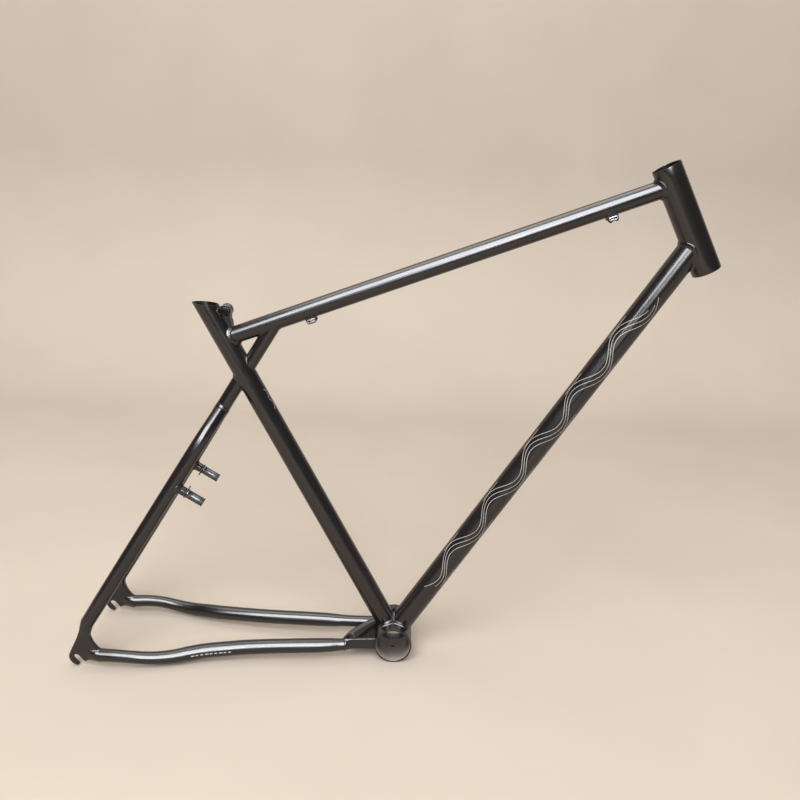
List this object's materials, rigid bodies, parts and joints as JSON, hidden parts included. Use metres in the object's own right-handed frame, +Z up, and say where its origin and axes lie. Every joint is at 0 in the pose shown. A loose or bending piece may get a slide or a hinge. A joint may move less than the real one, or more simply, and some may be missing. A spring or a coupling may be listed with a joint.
{
  "type": "bicycle frame",
  "caption": "Rigid steel bicycle frame with a sloping top tube, a single upper stay that braces the top tube, rim-brake studs and slotted dropouts.",
  "frame": {"origin": "centre of the bottom bracket shell", "axes": "+X forward towards the head tube, +Y to the rider's left, +Z up; the frame is held as it stands by itself on the bottom bracket shell and the dropout tips, nose up by 11.1 degrees from its riding attitude"},
  "size_m": [0.8318, 0.1602, 0.698],
  "materials": {
    "black_paint": "satin",
    "brake_stud": "satin",
    "stud_cap": "matte",
    "guide_clip": "brushed",
    "binder_washer": "satin",
    "binder_bolt": "black oxide"
  },
  "bodies": {
    "frame": {"head_tube": "black_paint", "top_tube": "black_paint", "down_tube": "black_paint", "seat_tube": "black_paint", "bottom_bracket_shell": "black_paint", "top_tube_brace": "black_paint", "upper_stay": "black_paint", "seatstay_left": "black_paint", "seatstay_right": "black_paint", "chainstay_left": "black_paint", "chainstay_right": "black_paint", "chainstay_yoke": "black_paint", "dropout_left": "black_paint", "dropout_right": "black_paint", "brake_boss_left": "black_paint", "brake_boss_right": "black_paint", "brake_spring_plate_left": "black_paint", "brake_spring_plate_right": "black_paint", "brake_stud_left": "brake_stud", "brake_stud_right": "brake_stud", "brake_stud_cap_left": "stud_cap", "brake_stud_cap_right": "stud_cap", "cable_guide_rear": "black_paint", "cable_guide_front": "black_paint", "cable_guide_clip_rear": "guide_clip", "cable_guide_clip_front": "guide_clip", "seat_binder_ear_left": "black_paint", "seat_binder_ear_right": "black_paint", "seat_binder_nut": "binder_bolt"},
    "binder_washer": {"seat_binder_washer": "binder_washer"},
    "binder_bolt": {"seat_binder_bolt": "binder_bolt"}
  },
  "joints": [
    {"name": "binder_washer_slide", "type": "slide", "parent": "frame", "child": "binder_washer", "axis": [0, -1, 0], "range_m": [0, 0.002]},
    {"name": "binder_bolt_turn", "type": "hinge", "parent": "binder_washer", "child": "binder_bolt", "pos_m": [-0.23431, -0.0086, 0.46226], "axis": [0, -1, 0], "range_deg": [0, 740]}
  ],
  "couplings": [
    {"joint": "binder_bolt_turn", "follows": "binder_washer_slide", "rad_per_m": 6283.2}
  ]
}
